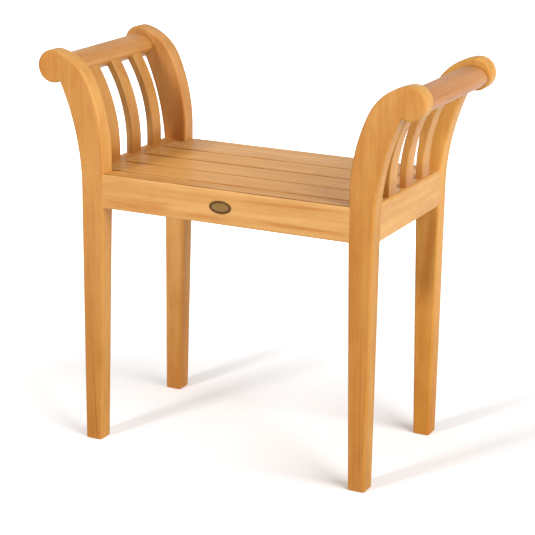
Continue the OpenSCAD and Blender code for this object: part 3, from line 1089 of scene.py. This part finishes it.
@dataclass
class SeatFrame:
    """The two aprons and two side rails, which run on a little inside the posts as their tenons do."""

    easing: float = 0.003
    outer_easing: float = 0.0042  # radius of a side rail's outer top edge
    inner_easing: float = 0.0012  # radius of its edge beside the seat boards
    seat_height: float = 0.450
    tenon: float = 0.020
    run_on: float = 0.010  # length of a rail inside each post
    heart_depth: float = 0.05  # how far behind an apron's face the heart of its tree lay
    heart_z: float = 0.430
    bands: tuple[Band, ...] = (
        Band((-0.23, 0.405), (-0.085, 0.409), 0.012, 0.75),
        Band((-0.07, 0.404), (0.00, 0.404), 0.004, 0.6),
        Band((0.02, 0.4365), (0.21, 0.440), 0.003, 0.8),
        Band((0.06, 0.4085), (0.22, 0.404), 0.004, 0.7),
        Band((-0.20, 0.428), (0.05, 0.424), 0.003, 0.3),
    )

    def build(self) -> None:
        """Builds the four rails."""
        pull = Vector((self.tenon - self.run_on, 0.0, 0.0))
        for row, tone, seed in (("front", (220, 163, 93), 11.3), ("back", (214, 152, 88), 14.9)):
            low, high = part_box(f"{row}_apron")
            face = low.y if row == "front" else high.y
            heart = (0.0, face - math.copysign(self.heart_depth, face), self.heart_z)
            # the aprons get painted shade on their tops and along their upper front edges
            finish = Teak(f"teak_apron_{row}", Grain.ALONG_X, tone, seed, heart, lean=0.03, figure=0.3,
                          streaks=0.7, mottle=0.5, top_and_edge_shade=1.0, bands=self.bands)
            board(f"{row}_rail", f"{row}_apron", finish, "teak_rail", low + pull, high - pull, self.easing)
        for side, tone, seed in ((Side.LEFT, (188, 129, 68), 21.3), (Side.RIGHT, (210, 155, 79), 24.1)):
            heart = (side.value * 0.19, 0.0, 0.41)
            finish = Teak(f"teak_side_rail_{side.word}", Grain.ALONG_Y, tone, seed, heart, figure=0.25,
                          mottle=0.5)
            self._side_rail(side, finish)

    def _side_rail(self, side: Side, finish: Teak) -> None:
        """Builds one side rail, whose top slopes down to the seat boards.

        Args:
            side: Left or right.
            finish: Its teak.
        """
        node = f"side_rail_{side.word}"
        low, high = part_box(node)
        outer, inner = (high.x, low.x) if side is Side.RIGHT else (low.x, high.x)
        corners = [(inner, low.z), (outer, low.z), (outer, high.z), (inner, self.seat_height)]
        profile = rounded(corners, (self.easing, self.easing, self.outer_easing, self.inner_easing))
        ends = (low.y + self.tenon - self.run_on, high.y - self.tenon + self.run_on)
        rings = [[Vector((x, y, z)) for x, z in profile] for y in ends]
        dress(loft(f"{side.word}_side_rail", rings), finish, [node])


@dataclass
class Arms:
    """The two oval arm rails, and the three bent slats under each."""

    rail_width: float = 0.052
    rail_height: float = 0.0375
    rail_end_radius: float = 0.012
    rail_centre: Point = (0.29825, 0.6085)
    rail_half_length: float = 0.120
    rail_easing: float = 0.001
    run_on: float = 0.004  # length of an arm rail inside each post
    slat_thickness: float = 0.0125
    slat_width: float = 0.029
    slat_x: float = 0.24125  # middle of a slat where it stands on the side rail
    slat_z: float = 0.450
    slat_sink: float = 0.006  # how far a slat runs down into the side rail
    slat_top: float = 0.6085
    slat_easing: float = 0.0024
    bend_z: float = 0.4695  # where a slat begins to curve
    bend_radius: float = 0.243
    pitch: float = 0.06725

    def build(self) -> None:
        """Builds both arms."""
        # tones of each arm's rail and slats, with painted shade on the left slats' faces square to Y
        woods = (
            (Side.LEFT, (198, 140, 74), (194, 138, 66), (0.89, 0.90, 0.84)),
            (Side.RIGHT, (189, 130, 75), (204, 147, 71), None),
        )
        for number, (side, rail_tone, slat_tone, face_shade) in enumerate(woods):
            heart = (side.value * 0.30, 0.0, 0.54)
            # the arm rails get painted shade at their ends, where they meet the posts
            finish = Teak(f"teak_arm_rail_{side.word}", Grain.ALONG_Y, rail_tone, 31.7 + number, heart,
                          Edges.SWEPT, figure=0.2, streaks=0.7, threads=0.6, mottle=0.7,
                          joint=self.rail_half_length)
            self._rail(side, finish)
            heart = (side.value * 0.19, 0.0, 0.5)
            # painted shade at the slats' feet, where they stand on the side rail
            finish = Teak(f"teak_arm_slats_{side.word}", Grain.ALONG_Z, slat_tone, 41.9 + number, heart,
                          Edges.SWEPT, figure=0.25, threads=0.4, mottle=0.5, variety=0.5, face_shade=face_shade,
                          foot_shade=(0.74, 0.60, 0.42), foot_shade_from=0.454, foot_shade_to=0.492)
            self._slats(side, finish)

    def _oval(self) -> list[Point]:
        """Draws an arm rail about its own middle, as two end circles joined by two flatter arcs.

        Returns:
            The outline's points, in order.
        """
        end = self.rail_width / 2 - self.rail_end_radius
        rise = self.rail_height / 2
        drop = (end ** 2 - (rise - self.rail_end_radius) ** 2) / (2 * (rise - self.rail_end_radius))
        lean = math.atan2(drop, end)  # direction from a flat arc's centre to an end circle's
        quarter = arc((end, 0.0), self.rail_end_radius, 0.0, lean, 9)
        quarter += arc((0.0, -drop), rise + drop, lean, math.pi / 2, 12)[1:]
        half = quarter + [(-x, z) for x, z in reversed(quarter[:-1])]
        return half + [(x, -z) for x, z in reversed(half[1:-1])]

    def _rail(self, side: Side, finish: Teak) -> None:
        """Builds one arm rail.

        Args:
            side: Left or right.
            finish: Its teak.
        """
        reach = self.rail_half_length + self.run_on
        middle_x, middle_z = self.rail_centre
        rings = []
        for y, inset in eased(-reach, reach, self.rail_easing, 2):
            share = 1 - inset / (self.rail_height / 2)
            oval = ((middle_x + x * share, middle_z + z * share) for x, z in self._oval())
            rings.append([Vector((side.value * x, y, z)) for x, z in oval])
        dress(loft(f"{side.word}_arm_rail", rings), finish, [f"arm_rail_{side.word}"])

    def _slats(self, side: Side, finish: Teak) -> None:
        """Bends one slat to its arc and repeats it along the side rail.

        Args:
            side: Left or right.
            finish: Their teak.
        """
        recipe = Recipe(f"{side.word}_arm_slats")
        thickness = recipe.size("Thickness", self.slat_thickness)
        width = recipe.size("Width", self.slat_width)
        radius = recipe.size("Bend radius", self.bend_radius)
        bend_z = recipe.size("Bend height", self.bend_z)
        pitch = recipe.size("Pitch", self.pitch)
        foot = recipe.size("Foot height", self.slat_z - self.slat_sink)
        top = recipe.size("Top height", self.slat_top)
        half = (thickness / 2, width / 2, (top - foot) / 2)
        block = recipe.soft_block(half, recipe.size("Edge radius", self.slat_easing), (11, 11, 49))
        off, y, z = recipe.split(recipe.place)
        height = z + (top + foot) / 2
        rise = recipe.maths("MAXIMUM", height - bend_z, 0.0)
        bent = (self.slat_x + radius) - recipe.maths("SQRT", (radius - off) ** 2 - rise * rise)
        slat = recipe.put(block, recipe.join(bent * side.value, y, height))
        row = recipe.row(slat, 3, recipe.join(0.0, -pitch, 0.0), recipe.join(0.0, pitch, 0.0))
        nodes = [f"arm_slat_{side.word}_{place}" for place in ("front", "middle", "back")]
        dress(recipe.run(f"{side.word}_arm_slats", row, finish), finish, nodes)


@dataclass
class Seat:
    """Three narrow seat slats, and the wide board at the back that is notched round the posts."""

    easing: float = 0.0022
    pitch: float = SLAT_PITCH
    notch_gap: float = 0.0003
    post_face: Point = (0.2105, POST_FACE_Y)  # inner faces of a back post
    apron_face: float = 0.1495

    def build(self) -> None:
        """Builds the seat's four boards."""
        # the seat's boards also get painted shade in their grooves and a painted shadow at their left ends
        oil_and_shade = {"figure": 0.45, "streaks": 0.5, "grime_and_shade": 0.9, "end_shadow": 1.0, "roughness": 0.44,
                 "sheen": 0.23}
        self._slats(Teak("teak_seat_slats", Grain.ALONG_X, (229, 167, 88), 51.2, (0.0, 0.02, 0.39),
                         lean=0.015, variety=0.35, **oil_and_shade))
        self._back_board(Teak("teak_seat_back", Grain.ALONG_X, (232, 174, 104), 57.7, (0.0, 0.12, 0.40),
                              **oil_and_shade))

    def _slats(self, finish: Teak) -> None:
        """Repeats one slat from the front of the seat backwards.

        Args:
            finish: Their teak.
        """
        low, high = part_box("seat_slat_front")
        recipe = Recipe("seat_slats")
        slat = recipe.block((high - low) / 2, self.easing)
        step = recipe.join(0.0, recipe.size("Pitch", self.pitch), 0.0)
        row = recipe.row(slat, 3, tuple((low + high) / 2), step)
        nodes = [f"seat_slat_{place}" for place in ("front", "middle", "rear")]
        dress(recipe.run("seat_slats", row, finish), finish, nodes)

    def _back_board(self, finish: Teak) -> None:
        """Skins the notched board over outlines that draw in at its top and bottom edges.

        Args:
            finish: Its teak.
        """
        low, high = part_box("seat_back_board")
        notch_x, notch_y = (face - self.notch_gap for face in self.post_face)
        rings = []
        for z, inset in eased(low.z, high.z, self.easing):
            x, front, back = high.x - inset, low.y + inset, self.apron_face - inset
            step_x, step_y = notch_x - inset, notch_y - inset
            half = [(x, front), (x, step_y), (step_x, step_y), (step_x, back)]
            outline = half + [(-x, y) for x, y in reversed(half)]
            rings.append([Vector((x, y, z)) for x, y in outline])
        dress(loft("seat_back_board_visible", rings), finish, ["seat_back_board"])


@dataclass
class Underside:
    """Cleats and a batten that carry the seat boards, their screws, and the pegs of the aprons' tenons."""

    easing: float = 0.002
    batten_pull: float = 0.008  # how much of each tenon of the batten its board leaves out
    screw_length: float = 0.030
    cleat_screw_length: float = 0.034
    screw_radius: float = 0.002
    tip_share: float = 0.5  # radius of a screw's tip next to its shank's
    head_radius: float = 0.004
    head_height: float = 0.0026
    cross: Place = (0.0046, 0.0009, 0.0026)  # a bar of the cross in a screw's head
    seat_screw_x: float = 0.21725
    seat_screw_z: float = 0.414
    cleat_rows: tuple[ScrewRow, ...] = (
        (-0.1015, 3, SLAT_PITCH), (-0.071, 3, SLAT_PITCH), (0.0845, 2, 0.0215))
    batten_rows: tuple[ScrewRow, ...] = ((-0.08625, 3, SLAT_PITCH), (0.0945, 1, 0.0))
    cleat_screw_x: float = 0.20725
    cleat_screw_ys: tuple[float, ...] = (-0.088, 0.007, 0.095)
    cleat_screw_z: float = 0.423
    peg_x: float = 0.2205
    front_peg_zs: Point = (0.407, 0.437)
    back_peg_zs: Point = (0.407, 0.422)
    peg_radius: float = 0.0035
    peg_length: float = 0.023
    peg_end: float = 0.005  # how far from a peg's middle a point counts as part of its end
    post_face: float = POST_FACE_Y
    proud: float = 0.0004  # how far the rounded end of a peg stands out

    def build(self) -> None:
        """Builds everything under the seat."""
        steel = Stainless()
        for side in Side:
            node = f"seat_cleat_{side.word}"
            finish = Teak(f"teak_cleat_{side.word}", Grain.ALONG_Y, (190, 134, 82), 61.3 + side.value,
                          (side.value * 0.21, 0.0, 0.36))
            board(f"{side.word}_seat_cleat", node, finish, "teak_batten", *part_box(node), self.easing)
        low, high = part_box("centre_batten")
        pull = Vector((0.0, self.batten_pull, 0.0))
        finish = Teak("teak_centre_batten", Grain.ALONG_Y, (196, 140, 86), 66.4, (0.0, 0.0, 0.36))
        board("seat_batten", "centre_batten", finish, "teak_batten", low + pull, high - pull, self.easing)
        for side in Side:
            self._seat_screws(side.word, side.value * self.seat_screw_x, self.cleat_rows, steel)
        self._seat_screws("centre", 0.0, self.batten_rows, steel)
        for side in Side:
            self._cleat_screws(side, steel)
        self._pegs(Teak("teak_pegs", Grain.ALONG_Y, (176, 118, 66), 71.8, (0.2, 0.0, 0.40)))
        dowels = Teak("teak_dowels", Grain.ALONG_Z, (186, 130, 78), 73.1, (0.1, 0.1, 0.0))
        keep_solid("back_board_dowels", dowels)

    def _screw(self, recipe: Recipe, length: float) -> Any:
        """A countersunk screw with a cross in its head, which starts at the origin and points along +Z.

        Args:
            recipe: The tree to build it in.
            length: Its length.

        Returns:
            The screw's geometry.
        """
        height = recipe.size("Head height", self.head_height)
        outer = recipe.size("Head radius", self.head_radius)
        inner = recipe.size("Shank radius", self.screw_radius)
        shank = recipe.cone(12, inner, inner * self.tip_share, recipe.size("Length", length) - height)
        bar = recipe.node("GeometryNodeMeshCube", {}, {"Size": self.cross}).outputs[0]
        bars = [bar, recipe.shift(bar, ORIGIN, (0.0, 0.0, math.pi / 2))]
        head = recipe.gather(bars, "GeometryNodeMeshBoolean", "Mesh 2")
        recipe.feed(head.inputs["Mesh 1"], recipe.cone(24, outer, inner, height))
        parts = [head.outputs[0], recipe.shift(shank, recipe.join(0.0, 0.0, height))]
        return recipe.gather(parts).outputs[0]

    def _seat_screws(self, word: str, x: float, rows: Sequence[ScrewRow], steel: Stainless) -> None:
        """Drives the rows of screws from a cleat or the batten into the seat boards.

        Args:
            word: left, right or centre.
            x: Where the rows run.
            rows: The rows.
            steel: The screws' finish.
        """
        recipe = Recipe(f"slat_screws_{word}")
        screw = self._screw(recipe, self.screw_length)
        parts = []
        for number, (y, count, pitch) in enumerate(rows):
            step = recipe.join(0.0, recipe.size(f"Pitch of row {number}", pitch), 0.0)
            parts.append(recipe.row(screw, count, (x, y, self.seat_screw_z), step))
        piece = recipe.run(f"seat_screws_{word}", recipe.gather(parts).outputs[0], steel, crease=30.0)
        dress(piece, steel, [f"slat_screws_{word}"])

    def _cleat_screws(self, side: Side, steel: Stainless) -> None:
        """Drives the screws that fix a cleat to its side rail.

        Args:
            side: Left or right.
            steel: The screws' finish.
        """
        recipe = Recipe(f"cleat_screws_{side.word}")
        screw = self._screw(recipe, self.cleat_screw_length)
        screw = recipe.shift(screw, ORIGIN, (0.0, side.value * math.pi / 2, 0.0))
        x = side.value * self.cleat_screw_x
        parts = [recipe.row(screw, 1, (x, y, self.cleat_screw_z)) for y in self.cleat_screw_ys]
        piece = recipe.run(f"rail_screws_{side.word}", recipe.gather(parts).outputs[0], steel, crease=30.0)
        dress(piece, steel, [f"cleat_screws_{side.word}"])

    def _pegs(self, finish: Teak) -> None:
        """Drives the round-ended pegs that lock the aprons' tenons.

        Args:
            finish: Their teak.
        """
        recipe = Recipe("apron_pegs")
        radius = recipe.size("Radius", self.peg_radius)
        length = recipe.size("Length", self.peg_length)
        proud = recipe.size("Proud", self.proud)
        sockets = {"Vertices": 20, "Side Segments": 2, "Fill Segments": 3, "Radius": radius, "Depth": length}
        rod = recipe.node("GeometryNodeMeshCylinder", {}, sockets).outputs["Mesh"]
        x, y, z = recipe.split(recipe.place)
        reach = (x * x + y * y) / (radius * radius)
        far = recipe.maths("GREATER_THAN", recipe.maths("ABSOLUTE", z), self.peg_end)
        end = recipe.maths("SIGN", z) * far
        domed = recipe.put(rod, recipe.join(x, y, z + end * proud * (1 - reach)))
        parts = []
        for face, heights in ((-1, self.front_peg_zs), (1, self.back_peg_zs)):
            for side in Side:
                middle = (side.value * self.peg_x, face * (self.post_face + self.peg_length / 2), 0.0)
                peg = recipe.shift(domed, middle, (math.pi / 2, 0.0, 0.0))
                for number, height in enumerate(heights):
                    parts.append(recipe.row(peg, 1, (0.0, 0.0, height), first=number + 2 * side.value))
        piece = recipe.run("tenon_pegs", recipe.gather(parts).outputs[0], finish, crease=50.0)
        dress(piece, finish, ["apron_pegs"])


@dataclass
class Plaque:
    """The blank oval plaque on the front apron, with a beaded rim and a raised panel."""

    width: float = 0.038
    height: float = 0.021
    steps: int = 72  # points round each ring
    rim: float = 0.0014
    panel: float = 0.0040  # how far in from the outline the raised panel starts
    field: float = 0.0005  # depth of the field between them
    rim_height: float = 0.0004
    # How far each ring of the plate draws in, and how far it lies behind the panel's face
    profile: tuple[Point, ...] = (
        (0.0, rim_height), (0.0002, 0.0002), (0.0005, 0.00015), (rim - 0.0004, 0.00015),
        (rim - 0.0001, 0.0002), (rim + 0.0002, field), (panel - 0.0005, field), (panel - 0.0001, 0.0002),
        (panel + 0.0004, 0.0), (panel + 0.0016, 0.0))
    beads: int = 44
    bead_radius: float = 0.00105
    bead_shape: Place = (0.95, 0.75, 0.95)  # a bead's size along each axis, next to its radius

    def build(self) -> None:
        """Builds the plate and its beads."""
        low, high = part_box("plaque")
        middle = (low + high) / 2
        wear = {"proud_y": low.y, "hollow_y": low.y + self.rim_height}
        finish = Bronze(**wear)
        rings = []
        for inset, y in [(0.0, high.y)] + [(inset, low.y + depth) for inset, depth in self.profile]:
            a, b = self.width / 2 - inset, self.height / 2 - inset
            turns = (2 * math.pi * i / self.steps for i in range(self.steps))
            rings.append([Vector((middle.x + a * math.cos(t), y, middle.z + b * math.sin(t))) for t in turns])
        dress(loft("plaque_plate", rings), finish, ["plaque"])
        sunk = self.bead_radius * self.bead_shape[1]
        self._beads((middle.x, low.y + sunk, middle.z),
                    Bronze("dark_bronze", linear(112, 76, 26), linear(58, 34, 8), **wear))
        keep_solid("plaque_pins", finish)

    def _beads(self, middle: Place, finish: Bronze) -> None:
        """Sets small beads along the rim.

        Args:
            middle: The middle of their oval.
            finish: Their bronze.
        """
        recipe = Recipe("plaque_beads")
        half_width = recipe.size("Half width", self.width / 2)
        half_height = recipe.size("Half height", self.height / 2)
        radius = recipe.size("Bead radius", self.bead_radius)
        sockets = {"Resolution": 96, "Radius": 1.0}
        ring = recipe.node("GeometryNodeCurvePrimitiveCircle", {}, sockets).outputs[0]
        x, y, _ = recipe.split(recipe.place)
        oval = recipe.put(ring, recipe.join(x * (half_width - radius), 0.0, y * (half_height - radius)))
        points = recipe.node("GeometryNodeCurveToPoints", {}, {"Curve": oval, "Count": self.beads}).outputs[0]
        bead = recipe.node("GeometryNodeMeshUVSphere", {}, {"Segments": 10, "Rings": 6, "Radius": radius})
        sockets = {"Geometry": bead.outputs["Mesh"], "Scale": self.bead_shape}
        flat = recipe.node("GeometryNodeTransform", {}, sockets).outputs[0]
        placed = recipe.shift(recipe.copies(flat, points), middle)
        piece = recipe.run("plaque_beads", placed, finish, crease=60.0)
        dress(piece, finish, ["plaque"])


@dataclass
class Studio:
    """Floor, lights, surroundings and camera."""

    azimuth: float = 25.951
    elevation: float = 16.491
    roll: float = 0.749
    distance: float = 3.0223
    target: Place = (0.00601, 0.0, 0.288677)
    focal: float = 125.847
    sensor: float = 36.0
    floor_reach: float = 30.0
    floor_colour: Colour = (0.80, 0.80, 0.80)
    seen_colour: Colour = (0.98, 0.98, 0.98)  # the floor's colour to the camera
    front_glow: float = 0.12
    back_glow: float = 0.30
    left_glow: float = 0.34
    far_glow: float = 0.70
    back_ys: Point = (0.1, 0.6)  # where the front's glow turns into the back's
    left_xs: Point = (-0.7, 0.25)  # where the left's glow fades
    far_reaches: Point = (0.4, 1.4)  # distance over which the far glow rises
    surround: float = 0.25  # light of the surroundings, next to what the camera sees of them

    def build(self) -> None:
        """Builds the whole studio, with a key light at the front left and a broad one high on the right."""
        self._floor()
        self._world()
        self._lamp("key", azimuth=-20.0, elevation=28.0, distance=3.4, size=0.45, power=45.0)
        self._lamp("right", azimuth=73.0, elevation=34.0, distance=6.0, size=4.2, power=350.0)
        self._camera()

    def _floor(self) -> None:
        """Lays a white floor that keeps the bench's soft shadow."""
        reach = self.floor_reach
        mesh = bpy.data.meshes.new("floor")
        corners = [(-reach, -reach, 0.0), (reach, -reach, 0.0), (reach, reach, 0.0), (-reach, reach, 0.0)]
        mesh.from_pydata(corners, [], [(0, 1, 2, 3)])
        floor = bpy.data.objects.new("floor", mesh)
        bpy.context.scene.collection.objects.link(floor)
        paint = Paint("white_floor")
        matt = paint.node("ShaderNodeBsdfDiffuse", {}, {"Color": self.floor_colour})
        pale = paint.node("ShaderNodeBsdfDiffuse", {}, {"Color": self.seen_colour})
        glow = paint.node("ShaderNodeEmission", {}, {"Strength": self._glow(paint)})
        add = paint.node("ShaderNodeAddShader", {}, {0: pale.outputs[0], 1: glow.outputs[0]})
        sockets = {0: self._seen(paint), 1: matt.outputs[0], 2: add.outputs[0]}
        mix = paint.node("ShaderNodeMixShader", {}, sockets)
        paint.node("ShaderNodeOutputMaterial", {}, {0: mix.outputs[0]})
        mesh.materials.append(paint.material)

    def _glow(self, paint: Paint) -> Value:
        """Works out the light that the floor gives off to the camera, painted more at the back, the left and
        far off, where it washes out the bench's shadow.

        Args:
            paint: The floor's tree.

        Returns:
            The light's strength.
        """
        x, y, z = paint.split(paint.place)
        far = paint.maths("SQRT", x * x + y * y + z * z)
        glow = paint.ramp(y, *self.back_ys, self.front_glow, self.back_glow)
        glow = glow + paint.ramp(x, *self.left_xs, self.left_glow, 0.0)
        return glow + paint.ramp(far, *self.far_reaches, 0.0, self.far_glow)

    @staticmethod
    def _seen(graph: Graph) -> Value:
        """Tells the rays that show the surroundings themselves, directly or in a gloss.

        Args:
            graph: The tree that asks.

        Returns:
            1 for those rays, and 0 for the rest.
        """
        ray = graph.node("ShaderNodeLightPath").outputs
        mirror = graph.maths("MAXIMUM", ray["Is Glossy Ray"], ray["Is Transmission Ray"])
        return graph.maths("MAXIMUM", ray["Is Camera Ray"], mirror)

    def _world(self) -> None:
        """Surrounds the bench with even light, white where it is seen."""
        world = bpy.data.worlds.new("studio")
        bpy.context.scene.world = world
        world.use_nodes = True
        graph = Graph(world.node_tree)
        graph.tree.nodes.clear()
        strength = self._seen(graph) * (1 - self.surround) + self.surround
        back = graph.node("ShaderNodeBackground", {}, {"Color": (1.0, 1.0, 1.0), "Strength": strength})
        graph.node("ShaderNodeOutputWorld", {}, {0: back.outputs[0]})

    def _lamp(self, name: str, azimuth: float, elevation: float, distance: float, size: float,
              power: float) -> None:
        """Hangs one square soft light that faces the seat.

        Args:
            name: The light's name.
            azimuth: Its direction round the bench, 0 in front and 90 to the right.
            elevation: Its height above the horizon.
            distance: Its distance from the seat.
            size: Length of its side.
            power: Its power in watts.
        """
        data = bpy.data.lights.new(name, "AREA")
        data.size = size
        data.energy = power
        lamp = bpy.data.objects.new(name, data)
        back = bearing(azimuth, elevation)
        lamp.location = Vector(self.target) + back * distance
        lamp.rotation_euler = (-back).to_track_quat("-Z", "Y").to_euler()
        bpy.context.scene.collection.objects.link(lamp)

    def _camera(self) -> None:
        """Puts the camera where the photograph was taken from."""
        back = bearing(self.azimuth, self.elevation)
        roll = math.radians(self.roll)
        level = Vector((0.0, 0.0, 1.0)).cross(back).normalized()
        above = back.cross(level)
        right = math.cos(roll) * level + math.sin(roll) * above
        up = math.cos(roll) * above - math.sin(roll) * level
        data = bpy.data.cameras.new("camera")
        data.lens = self.focal
        data.sensor_width = self.sensor
        camera = bpy.data.objects.new("camera", data)
        turned = Matrix((right, up, back)).transposed().to_4x4()
        camera.matrix_world = Matrix.Translation(Vector(self.target) + back * self.distance) @ turned
        bpy.context.scene.collection.objects.link(camera)
        bpy.context.scene.camera = camera
        bpy.context.scene.view_settings.view_transform = "Standard"


def main() -> None:
    """Builds the bench's sub-assemblies and the studio in order."""
    logging.basicConfig(level=logging.INFO, format="%(name)s: %(message)s")
    for part in (Posts(), SeatFrame(), Arms(), Seat(), Underside(), Plaque(), Studio()):
        part.build()


if __name__ == "__main__":
    main()
